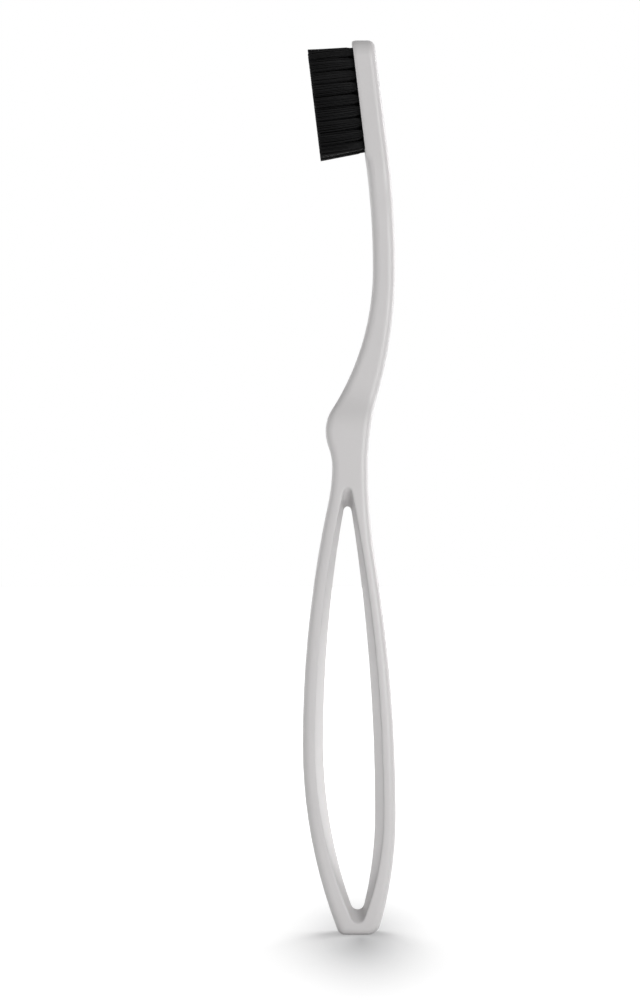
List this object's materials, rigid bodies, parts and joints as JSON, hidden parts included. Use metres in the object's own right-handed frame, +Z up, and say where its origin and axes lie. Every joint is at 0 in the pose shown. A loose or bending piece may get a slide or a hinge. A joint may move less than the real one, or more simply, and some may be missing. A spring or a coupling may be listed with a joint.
{
  "type": "manual toothbrush",
  "caption": "Manual toothbrush with a teardrop loop handle, a raised thumb rest, a slim S-shaped neck and a leaning head with a dense block of dark bristles.",
  "frame": {"origin": "middle of the flat foot under the loop, on which the brush stands", "axes": "+Z up along the brush from the foot to the head, -X the way the bristles point, XZ the plane of symmetry"},
  "size_m": [0.0198, 0.0112, 0.19],
  "materials": {
    "body_plastic": "satin",
    "bristles": "matte",
    "anchor_metal": "plain"
  },
  "bodies": {
    "root": {"brush_body": "body_plastic", "tuft_anchors": "anchor_metal", "tuft_column_1_row_01": "bristles", "tuft_column_1_row_02": "bristles", "tuft_column_1_row_03": "bristles", "tuft_column_1_row_04": "bristles", "tuft_column_1_row_05": "bristles", "tuft_column_1_row_06": "bristles", "tuft_column_1_row_07": "bristles", "tuft_column_1_row_08": "bristles", "tuft_column_1_row_09": "bristles", "tuft_column_2_row_01": "bristles", "tuft_column_2_row_02": "bristles", "tuft_column_2_row_03": "bristles", "tuft_column_2_row_04": "bristles", "tuft_column_2_row_05": "bristles", "tuft_column_2_row_06": "bristles", "tuft_column_2_row_07": "bristles", "tuft_column_2_row_08": "bristles", "tuft_column_3_row_01": "bristles", "tuft_column_3_row_02": "bristles", "tuft_column_3_row_03": "bristles", "tuft_column_3_row_04": "bristles", "tuft_column_3_row_05": "bristles", "tuft_column_3_row_06": "bristles", "tuft_column_3_row_07": "bristles", "tuft_column_3_row_08": "bristles", "tuft_column_4_row_01": "bristles", "tuft_column_4_row_02": "bristles", "tuft_column_4_row_03": "bristles", "tuft_column_4_row_04": "bristles", "tuft_column_4_row_05": "bristles", "tuft_column_4_row_06": "bristles", "tuft_column_4_row_07": "bristles", "tuft_column_4_row_08": "bristles", "tuft_column_4_row_09": "bristles"}
  },
  "joints": []
}
